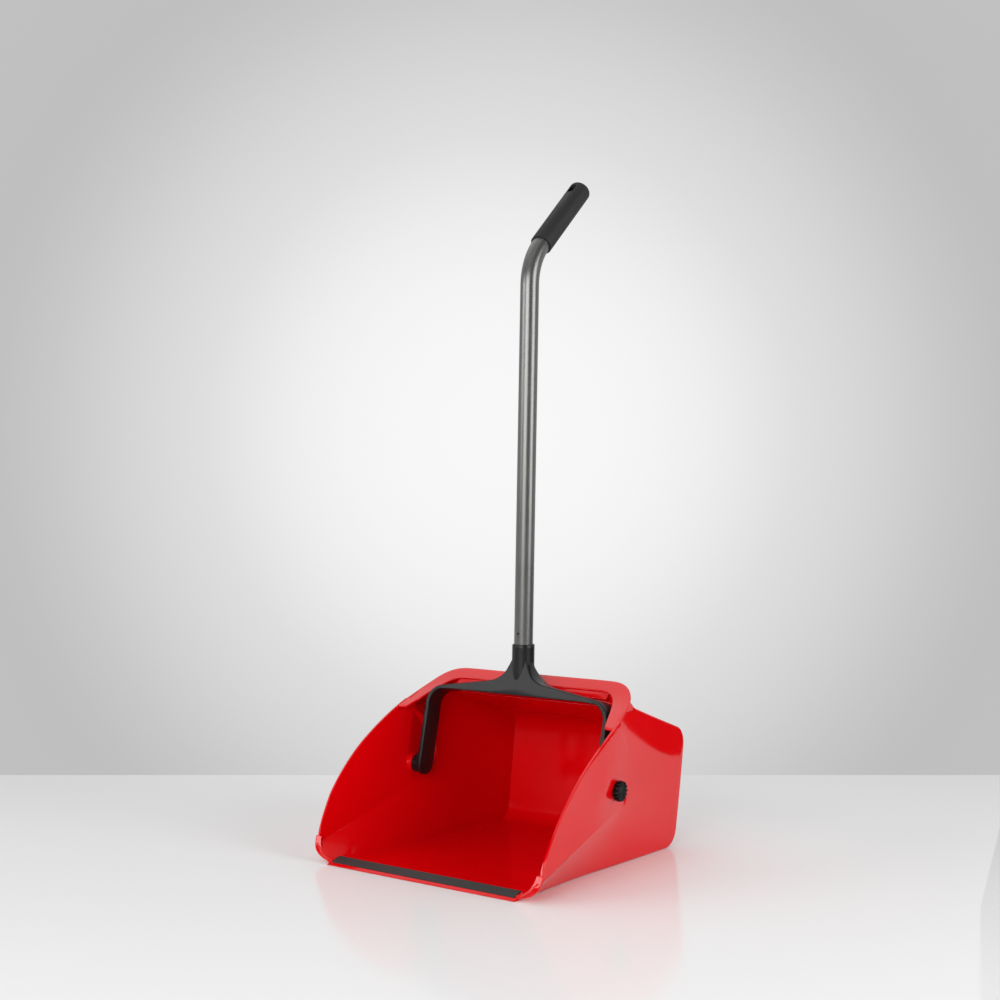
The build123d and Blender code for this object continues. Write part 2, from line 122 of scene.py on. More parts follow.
# half width and distance up the lean: the strap's outer side from the bend up, and the web's edges
BAR = (
    (122, 109), (100, 112.4), (80, 115.4), (62, 118.2), (47, 120.4), (36, 123.2), (27.5, 128), (21.5, 134.5),
    (17.2, 142), (14.9, 149), (13.6, 155),
)
WEB_TOP = (
    (0, 158), (6, 157), (10.5, 152), (14.5, 143.5), (19.5, 134.5), (26.0, 127.2), (35, 122.2), (47, 119.4),
    (62, 117.2), (80, 114.4), (100, 111.4), (118, 108.6), (126, 105.4),
)
WEB_BOTTOM = ((0, 104.4), (60, 104.4), (112, 104.4), (126, 103.6))
TUBE_LEAN = math.radians(1.65)
TUBE_FOOT = (LIP_Y + 216.6, 238.0)
# height and radius of the socket round the tube's foot
SOCKET = (
    (214, 11), (214.4, 13.6), (217, 14.9), (222, 15.1), (240, 15.0), (258, 14.9), (270, 14.9), (273.6, 14.9),
    (274.6, 14.5), (275, 13.8), (274.8, 12.8), (271, 12.6), (262, 12.6),
)
KNOB_TEETH = 14
KNOB_DEPTH = 7.6
PIN_RADIUS = 4.9


# ---------------------------------------------------------------- shape functions
def cubic(table, column, s):
    """Smooth interpolation through one column of a table whose first column rises."""
    i = 0
    while i < len(table) - 2 and s > table[i + 1][0]:
        i += 1

    def slope(k):
        a, b = table[max(k - 1, 0)], table[min(k + 1, len(table) - 1)]
        return (b[column] - a[column]) / (b[0] - a[0])

    p, q = table[i], table[i + 1]
    h = q[0] - p[0]
    t = (s - p[0]) / h
    return (
        (2 * t**3 - 3 * t**2 + 1) * p[column]
        + (t**3 - 2 * t**2 + t) * h * slope(i)
        + (3 * t**2 - 2 * t**3) * q[column]
        + (t**3 - t**2) * h * slope(i + 1)
    )


def smooth(x, a, b):
    """0 up to a, 1 from b, and an even S between."""
    t = min(max((x - a) / (b - a), 0.0), 1.0)
    return t * t * (3 - 2 * t)


def rim_z(s):
    return cubic(RIM, 1, s)


def rim_s(z):
    """Setback of the rim at a height."""
    lo, hi = 0.0, RIM_END
    for _ in range(40):
        mid = (lo + hi) / 2
        if rim_z(mid) < z:
            lo = mid
        else:
            hi = mid
    return (lo + hi) / 2


def fold_z(s):
    return cubic(STATIONS, 2, s)


def side_x(s, z):
    """Half width of the pan's outer skin at a side-view point."""
    floor, fold_height, fold_x, flare = (cubic(STATIONS, k, s) for k in (1, 2, 3, 4))
    low = floor + (fold_x - floor) * z / fold_height
    high = fold_x + flare * (z - fold_height)
    soft = FOLD_SOFT * smooth(s, FOLD_END, FOLD_GONE)
    if soft < 0.01:
        return low if z < fold_height else high
    # both lines slope outwards, the upper one less: a smooth minimum rounds the fold away
    blend = soft * FOLD_TURN
    w = min(max(0.5 + 0.5 * (high - low) / blend, 0.0), 1.0)
    return high * (1 - w) + low * w - blend * w * (1 - w)


def panel_x(s, z):
    """Half width of the front side panel, which stands proud towards its upper rear edge."""
    return side_x(s, z) + PANEL_PROUD * smooth(z, 79, 116) * smooth(s, 100, 190)


def edge_s(z):
    """Setback of the panel's rear edge, or of the rim above it, at a height."""
    if z <= FOLD_END_Z:
        return FOLD_END
    if z >= RIM_JOIN_Z:
        return max(rim_s(z), RIM_JOIN)
    points = HEEL if z < HEEL_TOP_Z else REAR_EDGE
    return cubic([(height, setback) for setback, height in points], 1, z)


def v3(x, s, z):
    """A point from half width, setback and height in mm."""
    return Vector((x * MM, (LIP_Y + s) * MM, z * MM))


def even(dense, n):
    """n + 1 points along a line of points, evenly by length."""
    run = [0.0]
    for a, b in zip(dense, dense[1:]):
        run.append(run[-1] + math.dist(a, b))
    out, k = [], 0
    for i in range(n + 1):
        want = run[-1] * i / n
        while k < len(run) - 2 and run[k + 1] < want:
            k += 1
        t = (want - run[k]) / max(run[k + 1] - run[k], 1e-9)
        out.append(tuple(a + (b - a) * t for a, b in zip(dense[k], dense[k + 1])))
    return out


def catmull(a, b, c, d, t):
    """Catmull-Rom value between b and c."""
    square = (2 * a - 5 * b + 4 * c - d) * t * t
    cube = (3 * b - a - 3 * c + d) * t**3
    return 0.5 * (2 * b + (c - a) * t + square + cube)


def spline(points, n):
    """n + 1 points along a smooth curve through 2-D points, evenly by length."""
    last = len(points) - 1
    dense = []
    for i in range(last):
        around = [points[min(max(k, 0), last)] for k in (i - 1, i, i + 1, i + 2)]
        for j in range(24):
            dense.append(tuple(catmull(*values, j / 24) for values in zip(*around)))
    dense.append(tuple(points[-1]))
    return even(dense, n)


def across(inner, outer, t):
    """The line a share t of the way from the inner line of points to the outer."""
    return [(xa + (xb - xa) * t, za + (zb - za) * t) for (xa, za), (xb, zb) in zip(inner, outer)]


def circle(radius, centre, n):
    """n + 1 points, the last one on the first."""
    turns = [2 * math.pi * (k % n) / n for k in range(n + 1)]
    return [(centre[0] + radius * math.cos(a), centre[1] + radius * math.sin(a)) for a in turns]


# ---------------------------------------------------------------- mesh helpers
class Maker:
    """Collects vertices and faces, with equal points shared."""

    def __init__(self):
        self.points, self.faces, self.index = [], [], {}

    def at(self, p):
        key = tuple(round(c * 1e6 / 4) for c in p)
        if key not in self.index:
            self.index[key] = len(self.points)
            self.points.append(tuple(p))
        return self.index[key]

    def face(self, *corners):
        ring = []
        for p in corners:
            i = self.at(p)
            if i not in ring:
                ring.append(i)
        if len(ring) > 2:
            self.faces.append(ring)

    def grid(self, rows):
        for a, b in zip(rows, rows[1:]):
            for k in range(len(a) - 1):
                self.face(a[k], a[k + 1], b[k + 1], b[k])

    def mirrored(self):
        for ring in list(self.faces):
            flipped = [self.points[i] for i in reversed(ring)]
            self.face(*[Vector((-p[0], p[1], p[2])) for p in flipped])

    def piece(self, name):
        """The mesh as an object with outward normals."""
        data = bpy.data.meshes.new(name)
        data.from_pydata(self.points, [], self.faces)
        data.validate()
        data.update()
        obj = fresh(name, data)
        outward(obj)
        return obj


def fresh(name, data):
    obj = bpy.data.objects.new(name, data)
    bpy.context.scene.collection.objects.link(obj)
    return obj


def outward(obj):
    """Merges equal points and turns the normals one way."""
    bm = bmesh.new()
    bm.from_mesh(obj.data)
    bmesh.ops.remove_doubles(bm, verts=bm.verts, dist=2e-6)
    bmesh.ops.recalc_face_normals(bm, faces=bm.faces)
    bm.to_mesh(obj.data)
    bm.free()


def face_front(obj):
    """Turns an open sheet's normals to the front, -Y, so that its thickness goes behind."""
    if sum(p.normal.y for p in obj.data.polygons) > 0:
        obj.data.flip_normals()


def thicken(obj, thickness, even_walls=False):
    wall = obj.modifiers.new("wall", "SOLIDIFY")
    wall.thickness = thickness * MM
    wall.offset = -1
    wall.use_even_offset = even_walls
    wall.use_quality_normals = even_walls


def round_edges(obj, width, degrees, segments=3):
    edge = obj.modifiers.new("edge", "BEVEL")
    edge.width = width * MM
    edge.segments = segments
    edge.limit_method = "ANGLE"
    edge.angle_limit = math.radians(degrees)


def baked(obj):
    """Applies the object's modifiers to its mesh."""
    graph = bpy.context.evaluated_depsgraph_get()
    data = bpy.data.meshes.new_from_object(obj.evaluated_get(graph))
    obj.modifiers.clear()
    obj.data = data
    return obj


def shade(obj, degrees):
    obj.data.shade_smooth()
    obj.data.set_sharp_from_angle(angle=math.radians(degrees))


def plate(name, rows, thickness, bevel_width=0.8):
    """A closed plate from a half grid of points, mirrored and thickened behind, with rounded edges."""
    made = Maker()
    made.grid(rows)
    made.mirrored()
    obj = made.piece(name)
    face_front(obj)
    thicken(obj, thickness)
    round_edges(obj, bevel_width, 45)
    return baked(obj)


def joined(name, pieces):
    """One object from several."""
    bpy.context.view_layer.update()
    for obj in list(bpy.context.selected_objects):
        obj.select_set(False)
    for obj in pieces:
        obj.select_set(True)
    bpy.context.view_layer.objects.active = pieces[0]
    bpy.ops.object.join()
    pieces[0].name = name
    return pieces[0]


# ---------------------------------------------------------------- pan: outline of the rear
def unit(a, b):
    d = (b[0] - a[0], b[1] - a[1])
    n = math.hypot(*d)
    return (d[0] / n, d[1] / n)


def arc_rows(centre, a0, a1, n):
    """Pairs of the side's edge point and the outer point round a corner of the rear outline."""
    rows = []
    for k in range(n + 1):
        a = a0 + (a1 - a0) * k / n
        c = (math.cos(a), math.sin(a))
        inner = (centre[0] + (CORNER - EDGE) * c[0], centre[1] + (CORNER - EDGE) * c[1])
        rows.append((inner, (centre[0] + CORNER * c[0], centre[1] + CORNER * c[1])))
    return rows


def line_row(start, direction, out, reach):
    """The same pair on a straight stretch of the outline."""
    p = (start[0] + direction[0] * reach, start[1] + direction[1] * reach)
    return ((p[0] - out[0] * EDGE, p[1] - out[1] * EDGE), p)


def rear_outline():
    """From the floor round the back to the hood's front."""
    back_dir = unit(BACK_FOOT, REAR_TOP)
    back_out = (back_dir[1], -back_dir[0])
    hood_dir = unit(HOOD_FRONT, REAR_TOP)
    hood_out = (-hood_dir[1], hood_dir[0])
    low_centre = (BACK_FOOT[0] + (-CORNER + CORNER * -back_out[1]) / back_out[0], CORNER)
    det = back_out[0] * hood_out[1] - back_out[1] * hood_out[0]
    top_centre = (
        REAR_TOP[0] - CORNER * (hood_out[1] - back_out[1]) / det,
        REAR_TOP[1] - CORNER * (back_out[0] - hood_out[0]) / det,
    )
    back_angle = math.atan2(back_out[1], back_out[0])
    hood_angle = math.atan2(hood_out[1], hood_out[0])
    rows = arc_rows(low_centre, -math.pi / 2, back_angle, 9)
    for z in BACK_ROWS:
        rows.append(line_row(BACK_FOOT, back_dir, back_out, (z + EDGE * back_out[1]) / back_dir[1]))
    rows += arc_rows(top_centre, back_angle, hood_angle, 9)
    run = [(top_centre[k] - HOOD_FRONT[k]) * hood_dir[k] for k in (0, 1)]
    for k in range(1, 25):
        rows.append(line_row(HOOD_FRONT, hood_dir, hood_out, (run[0] + run[1]) * (1 - k / 24)))
    return rows


outline = rear_outline()
heights = [inner[1] for inner, _ in outline]
n_low = next(k for k, z in enumerate(heights) if z >= FOLD_END_Z - 0.01)
n_mid = next(k for k, z in enumerate(heights) if z >= HEEL_TOP_Z - 0.01)
step_rows = [k for k in range(n_mid, len(heights)) if heights[k] <= STEP_TOP_Z]
N_FOLD = 46
N_REAR = 26
N_UP = 22
fold_s = [FOLD_START + (FOLD_END - FOLD_START) * (k / N_FOLD) ** 1.25 for k in range(N_FOLD + 1)]
lip_s = [SKIN_START, 7.5, 9.0]


# ---------------------------------------------------------------- pan: skin
def lower_side():
    """Columns from the floor up to the fold."""
    columns = []
    for s in lip_s + fold_s:
        top = min(rim_z(s), fold_z(s)) if s < FOLD_START else fold_z(s)
        if s == FOLD_END:
            top = FOLD_END_Z
        base = min(EDGE, 0.4 * top)
        column = []
        for k in range(n_low + 1):
            t = (heights[k] - heights[0]) / (heights[n_low] - heights[0])
            z = base + (top - base) * t
            column.append(v3(side_x(s, z), s, z))
        columns.append(column)
    return columns


def rear_side(last_column):
    """Rows from the panel's rear edge to the outline, with a shallow groove beside the edge."""
    rows = []
    for k, (inner, _) in enumerate(outline):
        left, z = edge_s(inner[1]), inner[1]
        row = []
        for j in range(N_REAR + 1):
            start = left + GROOVE_COLUMNS[min(j, 2)]
            s = start + (inner[0] - start) * max(j - 2, 0) / (N_REAR - 2)
            groove = GROOVE_DEPTH * smooth(z, 77, 90) * (1 - smooth(z, 165, 184)) if j == 1 else 0.0
            if k <= n_low and j == 0:
                row.append(last_column[k])
            else:
                row.append(v3(side_x(s, z) - groove, s, z))
        rows.append(row)
    return rows


def front_panel(lower):
    """Columns from the fold and heel up to the rim and the panel's rear edge."""
    bottom = [(s, None) for s in fold_s]
    bottom += [(edge_s(heights[k]), heights[k]) for k in range(n_low + 1, n_mid + 1)]
    n_all = len(bottom) - 1
    rear_edge = [(edge_s(heights[k]), heights[k]) for k in step_rows]
    rim_points = [FOLD_START + (RIM_JOIN - FOLD_START) * k / 200 for k in range(201)]
    rim_line = even([(s, rim_z(s)) for s in rim_points], n_all - len(rear_edge))
    crown = (rim_line + list(reversed(rear_edge)))[: n_all + 1]
    columns = []
    for i, ((s0, z0), (s1, z1)) in enumerate(zip(bottom, crown)):
        first = lower[len(lip_s) + i][-1] if i <= N_FOLD else v3(side_x(s0, z0), s0, z0)
        if z0 is None:
            z0 = fold_z(s0) if s0 < FOLD_END else FOLD_END_Z
        column = [first]
        for k in range(1, N_UP + 1):
            t = k / N_UP
            s, z = s0 + (s1 - s0) * t, z0 + (z1 - z0) * t
            column.append(v3(panel_x(s, z), s, z))
        columns.append(column)
    return columns


def step_faces(pan):
    """The little step between the panel's rear edge and the rear side."""
    for k in step_rows[:-1]:
        z0, z1 = heights[k], heights[k + 1]
        s0, s1 = edge_s(z0), edge_s(z1)
        pan.face(
            v3(panel_x(s0, z0), s0, z0),
            v3(panel_x(s1, z1), s1, z1),
            v3(side_x(s1, z1), s1, z1),
            v3(side_x(s0, z0), s0, z0),
        )


def cross_strips(lower, rear):
    """Floor, back and hood from side to side, rounded towards both sides."""
    track = []
    for i, s in enumerate(lip_s + fold_s):
        track.append(((s, lower[i][0].z / MM), (s, 0.0), lower[i][0]))
    for j in range(1, N_REAR):
        p = rear[0][j]
        track.append(((p.y / MM - LIP_Y, p.z / MM), (p.y / MM - LIP_Y, 0.0), p))
    for k, (inner, outer) in enumerate(outline):
        track.append((inner, outer, rear[k][-1]))
    strips = []
    for inner, outer, p in track:
        x0 = p.x / MM
        x1 = side_x(*outer)
        x2 = x1 - EDGE
        right = [p]
        for t in (0.25, 0.5, 0.75, 1.0):
            a, b, c = (1 - t) ** 2, 2 * t * (1 - t), t * t
            s = a * inner[0] + (b + c) * outer[0]
            z = a * inner[1] + (b + c) * outer[1]
            right.append(v3(a * x0 + b * x1 + c * x2, s, z))
        right += [v3(x2 * (1 - j / 6), outer[0], outer[1]) for j in range(1, 6)]
        left = [Vector((-q.x, q.y, q.z)) for q in reversed(right)]
        strips.append(right + [v3(0, outer[0], outer[1])] + left)
    return strips


def pan_skin():
    pan = Maker()
    lower = lower_side()
    pan.grid(lower)
    rear = rear_side(lower[-1])
    pan.grid(rear)
    pan.grid(front_panel(lower))
    step_faces(pan)
    pan.mirrored()
    pan.grid(cross_strips(lower, rear))
    obj = pan.piece("pan_skin")
    thicken(obj, SKIN, even_walls=True)
    round_edges(obj, 0.9, 50)
    return baked(obj)


# ---------------------------------------------------------------- pan: what is added to the skin
def pan_flange():
    """Round the top of the mouth, in the plane of the rim."""
    inner, outer = spline(FLANGE_IN, 60), spline(FLANGE_OUT, 60)
    rows = []
    for k in range(7):
        lift = 0.0 if k < 6 else 0.2
        rows.append([v3(x, rim_s(z) + lift, z) for x, z in across(inner, outer, k / 6)])
    return plate("pan_flange", rows, SKIN)


def pan_crescents():
    """At the lower corners of the mouth."""
    inner, outer = spline(CRESCENT_IN, 18), spline(CRESCENT_OUT, 18)
    rows = []
    for k in range(5):
        rows.append([v3(x, max(rim_s(z) - 0.3, 6.5 + 0.1 * z), z) for x, z in across(inner, outer, k / 4)])
    return plate("pan_crescents", rows, 2.6, 0.6)


def pan_seat():
    """The wall behind the crossbar."""
    rows = [
        [v3(x, s, z) for x in (0, 40, 80, 120, 162.0 - 0.9 * (z - 201))]
        for s, z in ((236.0, 201.0), (236.0, 208), (236.0, 214), (236.5, 220.5))
    ]
    return plate("pan_seat", rows, SKIN, 0.5)


def pan_ledge():
    """The sloping ledge that shows above the crossbar."""
    rows = [
        [v3(x, s, z) for x in (0, 40, 80, 110, 125)]
        for s, z in ((229.5, 210.5), (233.0, 215.5), (236.5, 220.5))
    ]
    return plate("pan_ledge", rows, 4.0, 0.7)


def pan_gusset():
    """Carries the side walls up to the back of the flange."""
    rows = []
    for k in range(6):
        z = 197.0 + 3.2 * k
        row = []
        for j in range(6):
            s = rim_s(z) + 2.0 + (236.0 - rim_s(z) - 2.0) * j / 5
            row.append(v3(side_x(s, min(z, 200.0)) - 2.5 - 0.9 * max(z - 199.0, 0), s, z))
        rows.append(row)
    return plate("pan_gusset", rows, 2.6, 0.4)


def step_stop():
    """Small walls that close the upper end of the step behind each side panel."""
    rows = [
        [v3(side_x(RIM_JOIN, z) - 2.0, 183.8, z), v3(panel_x(RIM_JOIN, z) - 0.3, 183.8, z)]
        for z in (181.0, 184.5, 188.0, 190.6)
    ]
    return plate("pan_step_stop", rows, 1.8, 0.2)


def pan_boss(name, sign):
    """The round boss under a knob, a solid of revolution about the pivot axis."""
    made = Maker()
    made.grid([[Vector((sign * x, y, z)) * MM for y, z in circle(r, PIVOT, 64)] for x, r in BOSS])
    return made.piece("pan_boss_" + name)


def pan_ramp():
    """The ramp of the lip."""
    made = Maker()
    rows = [[v3(x, s, z) for s, z in RAMP + RAMP[:1]] for x in (-151, -100, -50, 0, 50, 100, 151)]
    made.grid(rows)
    made.face(*rows[0][:-1])
    made.face(*rows[-1][:-1])
    obj = made.piece("pan_ramp")
    round_edges(obj, 0.5, 30, segments=2)
    return baked(obj)


def crisp_fold(obj):
    """Keeps the line of the fold sharp."""
    for line in obj.data.edges:
        ends = [obj.data.vertices[i].co / MM for i in line.vertices]
        if all(
            FOLD_START + 1 < p.y - LIP_Y < FOLD_END + 1
            and abs(p.z - fold_z(p.y - LIP_Y)) < 0.3
            and abs(abs(p.x) - side_x(p.y - LIP_Y, p.z)) < 0.3
            for p in ends
        ):
            line.use_edge_sharp = True


parts = [pan_skin(), pan_flange(), pan_crescents(), pan_seat(), pan_ledge(), pan_gusset(), step_stop()]
parts += [pan_boss(name, sign) for name, sign in SIDES]
parts.append(pan_ramp())
body = joined("pan_body", parts)
shade(body, 35)
crisp_fold(body)
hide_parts("pan_shell")
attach(body, "pan")


# ---------------------------------------------------------------- yoke
def yk(u, w, d):
    """A point of the yoke: across, up the lean from the pivot, and forward of its middle plane."""
    y = PIVOT[0] + w * math.sin(LEAN) - d * math.cos(LEAN)
    z = PIVOT[1] + w * math.cos(LEAN) + d * math.sin(LEAN)
    return Vector((u, y, z)) * MM


def strap_path():
    """From an arm's rounded end up to the bend, round it, and along the bar to the socket."""
    path = [(ARM_OUT, -HALF_DEPTH + 0.15)]
    path += [(ARM_OUT, w) for w in (-13.0, -11.0, -8.0, -4.0, 0.0)]
    path += [(ARM_OUT, BEND_W * k / 8) for k in range(1, 9)]
    turns = [math.pi / 2 * k / 12 for k in range(1, 12)]
    path += [(BEND_U + BEND * math.cos(a), BEND_W + BEND * math.sin(a)) for a in turns]
    return path + spline(BAR, 40)


def rounded_section(half, thick, r):
    """Depth and thickness round the strap's section, with rounded corners."""
    corners = ((half - r, r, -90), (half - r, thick - r, 0), (-half + r, thick - r, 90), (-half + r, r, 180))
    points = []
    for cx, cy, start in corners:
        for q in range(4):
            a = math.radians(start + 30 * q)
            points.append((cx + r * math.cos(a), cy + r * math.sin(a)))
    return points


def yoke_strap():
    """The bent strap, which narrows as it climbs into the socket."""
    path = strap_path()
    made = Maker()
    rings = []
    for k, (u, w) in enumerate(path):
        a, b = path[max(k - 1, 0)], path[min(k + 1, len(path) - 1)]
        du, dw = b[0] - a[0], b[1] - a[1]
        n = math.hypot(du, dw)
        inward = (-dw / n, du / n)
        share = smooth(w, 124, 153)
        half = math.sqrt(max(HALF_DEPTH**2 - min(w, 0.0) ** 2, 0.3)) * (1 - 0.72 * share)
        thick = ARM_WALL + (BAR_WALL - ARM_WALL) * smooth(w, 60, 105)
        shift = 4.5 * share
        ring = []
        for d, t in rounded_section(half, thick, min(1.3, half * 0.4)):
            ring.append(yk(u + inward[0] * t, w + inward[1] * t, d - 0.5 + shift))
        rings.append(ring + ring[:1])
    made.grid(rings)
    made.face(*rings[0][:-1])
    made.face(*rings[-1][:-1])
    made.mirrored()
    return made.piece("yoke_body")


def yoke_web():
    """The flat front of the T, which stands just proud of the strap."""
    lower, upper = even(WEB_BOTTOM, 60), spline(WEB_TOP, 60)
    made = Maker()
    made.grid([[yk(u, w, HALF_DEPTH) for u, w in across(lower, upper, k / 6)] for k in range(7)])
    made.mirrored()
    obj = made.piece("yoke_web")
    face_front(obj)
    thicken(obj, WEB_WALL)
    round_edges(obj, 0.9, 50)
    return baked(obj)


def yoke_socket():
    """Round the foot of the tube, along the tube's lean."""
    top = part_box("yoke")[1].z / MM + 0.2
    made = Maker()
    rings = []
    for z, r in SOCKET:
        y = TUBE_FOOT[0] + (z - TUBE_FOOT[1]) * math.tan(TUBE_LEAN)
        rings.append([Vector((px, py, min(z, top))) * MM for px, py in circle(r, (0.0, y), 48)])
    made.grid(rings)
    made.face(*rings[0][:-1])
    made.face(*rings[-1][:-1])
    return made.piece("yoke_socket")


yoke = joined("yoke_body", [yoke_strap(), yoke_web(), yoke_socket()])
shade(yoke, 40)
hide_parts("yoke")
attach(yoke, "handle")


# ---------------------------------------------------------------- pivot knobs
def pivot_knob(name, sign):
    """A pin and a head with a toothed rim and a grooved face."""
    x0, x1 = KNOB_LO.x / MM + 1.0, KNOB_HI.x / MM
    head = x1 - KNOB_DEPTH
    # along the axis, radius, depth of the teeth, depth of the grooves in the face
    profile = (
        (x0, 0.0, 0, 0), (x0, PIN_RADIUS, 0, 0), (head, PIN_RADIUS, 0, 0), (head, 10.0, 0, 0),
        (head + 0.3, 12.7, 2.6, 0), (head + 1.0, 13.0, 2.6, 0), (x1 - 1.4, 12.9, 2.6, 0),
        (x1 - 0.5, 12.4, 2.4, 0.5), (x1, 11.4, 1.6, 1.2), (x1, 9.5, 0, 1.3), (x1 - 0.1, 7.0, 0, 1.2),
        (x1 - 0.3, 5.6, 0, 0.3), (x1 - 1.2, PIN_RADIUS, 0, 0), (x1 - 1.4, 0.0, 0, 0),
    )
    n = 12 * KNOB_TEETH
    rows = []
    for x, r, teeth, groove in profile:
        ring = []
        for k in range(n + 1):
            a = 2 * math.pi * (k % n) / n
            cut = smooth(0.5 - 0.5 * math.cos(KNOB_TEETH * a), 0.35, 0.65)
            reach = r - teeth * cut
            y, z = PIVOT[0] + reach * math.cos(a), PIVOT[1] + reach * math.sin(a)
            ring.append(Vector((sign * (x - groove * cut), y, z)) * MM)
        rows.append(ring)
    made = Maker()
    made.grid(rows)
    knob = made.piece("knob_" + name)
    shade(knob, 30)
    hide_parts("pivot_knob_" + name)
    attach(knob, "handle")
    return knob


knobs = [pivot_knob(name, sign) for name, sign in SIDES]


# ---------------------------------------------------------------- materials
def plain(name, colour, rough, **sockets):
    mat = bpy.data.materials.new(name)
    mat.use_nodes = True
    shader = mat.node_tree.nodes["Principled BSDF"]
    shader.inputs["Base Color"].default_value = (*colour, 1)
    shader.inputs["Roughness"].default_value = rough
    for key, value in sockets.items():
        shader.inputs[key.replace("_", " ")].default_value = value
    return mat, shader


def node(mat, kind, **values):
    made = mat.node_tree.nodes.new(kind)
    for key, value in values.items():
        made.inputs[key].default_value = value
    return made


def grain(surface, scale, strength, distance, rough, colours=None):
    """Fine surface relief, uneven gloss and, if wanted, a slight change of colour."""
    mat, shader = surface
    link = mat.node_tree.links.new
    where = node(mat, "ShaderNodeTexCoord")
    fine = node(mat, "ShaderNodeTexNoise", Scale=scale, Detail=4.0)
    broad = node(mat, "ShaderNodeTexNoise", Scale=14.0, Detail=3.0)
    link(where.outputs["Object"], fine.inputs["Vector"])
    link(where.outputs["Object"], broad.inputs["Vector"])
    bump = node(mat, "ShaderNodeBump", Strength=strength, Distance=distance)
    link(fine.outputs["Fac"], bump.inputs["Height"])
    link(bump.outputs["Normal"], shader.inputs["Normal"])
    gloss = node(mat, "ShaderNodeMapRange")
    gloss.inputs["From Min"].default_value = 0.3
    gloss.inputs["From Max"].default_value = 0.7
    gloss.inputs["To Min"].default_value = rough[0]
    gloss.inputs["To Max"].default_value = rough[1]
    link(broad.outputs["Fac"], gloss.inputs["Value"])
    link(gloss.outputs["Result"], shader.inputs["Roughness"])
    if colours:
        ramp = node(mat, "ShaderNodeValToRGB")
        for element, place, colour in zip(ramp.color_ramp.elements, (0.3, 0.7), colours):
            element.position = place
            element.color = (*colour, 1)
        link(broad.outputs["Fac"], ramp.inputs["Fac"])
        link(ramp.outputs["Color"], shader.inputs["Base Color"])
    return mat


RED = (0.74, 0.0005, 0.003)
RED_RANGE = ((0.725, 0.0004, 0.0025), (0.755, 0.0006, 0.0035))
# The inside is a copy of the red with a little less gloss and a weaker reflection, which paints shade into
# the inside of the bin, to match how the photo looks.
red = grain(plain("red_polypropylene", RED, 0.05, IOR=1.5), 900.0, 0.012, 0.0002, (0.035, 0.065), RED_RANGE)
inner_red_painted_shade = grain(
    plain("red_inside_painted_shade", RED, 0.12, IOR=1.5, Specular_IOR_Level=0.2),
    900.0, 0.02, 0.0002, (0.09, 0.15), RED_RANGE,
)
nylon = grain(
    plain("black_nylon", (0.010, 0.010, 0.011), 0.32, Specular_IOR_Level=0.3),
    1400.0, 0.2, 0.0002, (0.28, 0.36), ((0.007, 0.007, 0.008), (0.011, 0.011, 0.012)),
)
rubber = grain(
    plain("black_rubber", (0.03, 0.028, 0.028), 0.6),
    1800.0, 0.3, 0.0002, (0.5, 0.66), ((0.016, 0.015, 0.015), (0.022, 0.021, 0.021)),
)
grip_rubber = grain(
    plain("grip_rubber", (0.02, 0.02, 0.021), 0.62),
    2200.0, 0.35, 0.0003, (0.55, 0.7), ((0.006, 0.006, 0.007), (0.010, 0.010, 0.011)),
)
tube_paint = grain(
    plain("grey_painted_tube", (0.20, 0.20, 0.195), 0.30, Metallic=0.75),
    1600.0, 0.08, 0.0002, (0.27, 0.32), ((0.165, 0.165, 0.162), (0.18, 0.18, 0.176)),
)
zinc = grain(plain("zinc_screw", (0.55, 0.55, 0.56), 0.28, Metallic=1.0), 1500.0, 0.1, 0.0001, (0.22, 0.34))

for piece in (yoke, *knobs):
    piece.data.materials.clear()
    piece.data.materials.append(nylon)
body.data.materials.clear()
body.data.materials.append(red)
body.data.materials.append(inner_red_painted_shade)
# Faces that look into the bin get the copy whose weaker reflection is painted shade.
middle_of_bin = v3(0, 250, 100)
for face in body.data.polygons:
    if face.normal.dot(face.center - middle_of_bin) < 0:
        face.material_index = 1

LOOKS = {
    "lip_strip": rubber,
    "pivot_collar_left": nylon,
    "pivot_collar_right": nylon,
    "handle_tube": tube_paint,
    "hand_grip": grip_rubber,
    "tube_screw": zinc,
}
ROUNDING = {"lip_strip": 0.35, "hand_grip": 1.0}
for name, mat in LOOKS.items():
    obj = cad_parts[name]
    if not obj.material_slots:
        obj.data.materials.append(mat)
    for slot in obj.material_slots:
        slot.material = mat
    if name in ROUNDING:
        weld = obj.modifiers.new("weld", "WELD")
        weld.merge_threshold = 1e-5
        round_edges(obj, ROUNDING[name], 35)

# ---------------------------------------------------------------- camera and floor, in metres
LOOK = Vector((-0.6147, 0.7888, 0.0)).normalized()
ACROSS = LOOK.cross(Vector((0, 0, 1)))
EYE = Vector((1.328, LIP_Y * MM - 1.535, 0.498))
camera_data = bpy.data.cameras.new("camera")
camera = fresh("camera", camera_data)
camera.location = EYE
camera.rotation_mode = "QUATERNION"
camera.rotation_quaternion = LOOK.to_track_quat("-Z", "Y")
camera_data.sensor_width = 36.0
camera_data.lens = 59.616
camera_data.shift_x = -0.001
camera_data.shift_y = -0.024
camera_data.clip_end = 60.0
camera_data.dof.use_dof = False
bpy.context.scene.camera = camera

FLOOR_DEPTH = 2.758  # from the eye to the floor's far edge
FLOOR_LENGTH = 7
FLOOR_HALF_WIDTH = 4
far = EYE + LOOK * FLOOR_DEPTH
near = far - LOOK * FLOOR_LENGTH
reach = ACROSS * FLOOR_HALF_WIDTH
floor_data = bpy.data.meshes.new("floor")
floor_corners = [(p.x, p.y, 0.0) for p in (far - reach, far + reach, near + reach, near - reach)]
floor_data.from_pydata(floor_corners, [], [(0, 1, 2, 3)])
floor = fresh("floor", floor_data)
floor_data.materials.append(plain("pale_floor", (0.93, 0.93, 0.93), 0.12, IOR=1.22)[0])

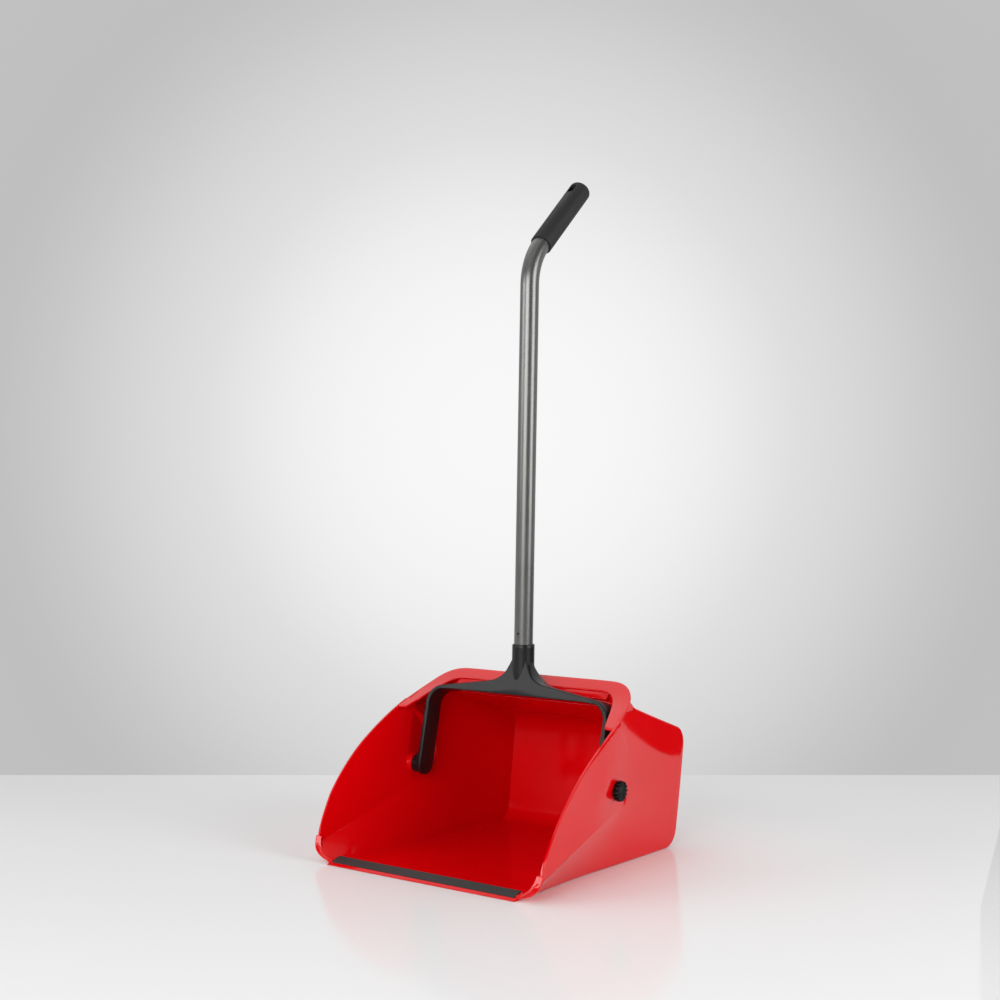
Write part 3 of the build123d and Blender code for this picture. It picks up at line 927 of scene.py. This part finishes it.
# ---------------------------------------------------------------- studio wall
# Brightness by the cosine of the angle between a direction and the middle of the backdrop.
TONES = (
    (0.0, 0.06), (0.03, 0.07), (0.14, 0.62), (0.75, 0.60), (0.955, 0.52), (0.9659, 0.58), (0.985, 0.74),
    (0.9945, 0.89), (1.0, 0.94),
)
GLOW_TILT = math.atan(1 / 36)  # of that middle above the horizon
PALE_WALL = 0.52  # the camera itself sees no part of the wall darker than this
MIX_A, MIX_B = 6, 7  # the Mix node's two colour inputs
world = bpy.data.worlds.new("studio")
bpy.context.scene.world = world
world.use_nodes = True
tree = world.node_tree
background = tree.nodes["Background"]
direction = tree.nodes.new("ShaderNodeTexCoord")
aim = tree.nodes.new("ShaderNodeVectorMath")
aim.operation = "DOT_PRODUCT"
aim.inputs[1].default_value = LOOK * math.cos(GLOW_TILT) + Vector((0, 0, math.sin(GLOW_TILT)))
tones = tree.nodes.new("ShaderNodeValToRGB")
stops = tones.color_ramp.elements
for stop, (place, tone) in zip(stops, (TONES[0], TONES[-1])):
    stop.position = place
    stop.color = (tone, tone, tone, 1)
for place, tone in TONES[1:-1]:
    stops.new(place).color = (tone, tone, tone, 1)
rays = tree.nodes.new("ShaderNodeLightPath")
pale = tree.nodes.new("ShaderNodeMix")
pale.data_type = "RGBA"
pale.blend_type = "LIGHTEN"
pale.inputs[MIX_B].default_value = (PALE_WALL, PALE_WALL, PALE_WALL, 1)
tree.links.new(direction.outputs["Generated"], aim.inputs[0])
tree.links.new(aim.outputs["Value"], tones.inputs["Fac"])
tree.links.new(rays.outputs["Is Camera Ray"], pale.inputs[0])
tree.links.new(tones.outputs["Color"], pale.inputs[MIX_A])
tree.links.new(pale.outputs[2], background.inputs["Color"])
background.inputs["Strength"].default_value = 1.0


# ---------------------------------------------------------------- lights and the dark card
def softbox(name, place, target, width, height, power):
    data = bpy.data.lights.new(name, "AREA")
    data.shape = "RECTANGLE"
    data.size, data.size_y = width, height
    data.energy = power
    lamp = fresh(name, data)
    lamp.location = place
    lamp.rotation_mode = "QUATERNION"
    lamp.rotation_quaternion = (Vector(target) - Vector(place)).to_track_quat("-Z", "Y")


softbox("overhead", (-0.5, -0.2, 2.7), (0, 0, 0), 4.4, 3.0, 22)
softbox("front_left", (-1.9, -2.6, 1.25), (0, 0, 0.2), 1.8, 0.9, 22)
softbox("front_fill", (0.7, -3.4, 1.3), (0, 0, 0.15), 2.4, 1.6, 66)
softbox("right_fill", (2.6, 0.3, 1.1), (0, 0, 0.1), 1.6, 1.6, 40)

# A dark card beside the object, seen only in gloss: the object's, and faintly the floor's.
card_end = Vector((0.288, 1.020, 0.0))
card_side = Vector((0.317, -0.948, 0.0))
card_rise = Vector((0, 0, 0.3))
card_feet = (card_end, card_end + card_side * 0.95)
card_data = bpy.data.meshes.new("dark_card")
card_data.from_pydata([*card_feet, card_feet[1] + card_rise, card_feet[0] + card_rise], [], [(0, 1, 2, 3)])
card = fresh("dark_card", card_data)
card_data.materials.append(plain("dark_card", (0.01, 0.01, 0.01), 1.0)[0])
card.visible_camera = False
card.visible_diffuse = False
card.visible_shadow = False
card.visible_transmission = False

view = bpy.context.scene.view_settings
view.view_transform = "Standard"
view.look = "None"
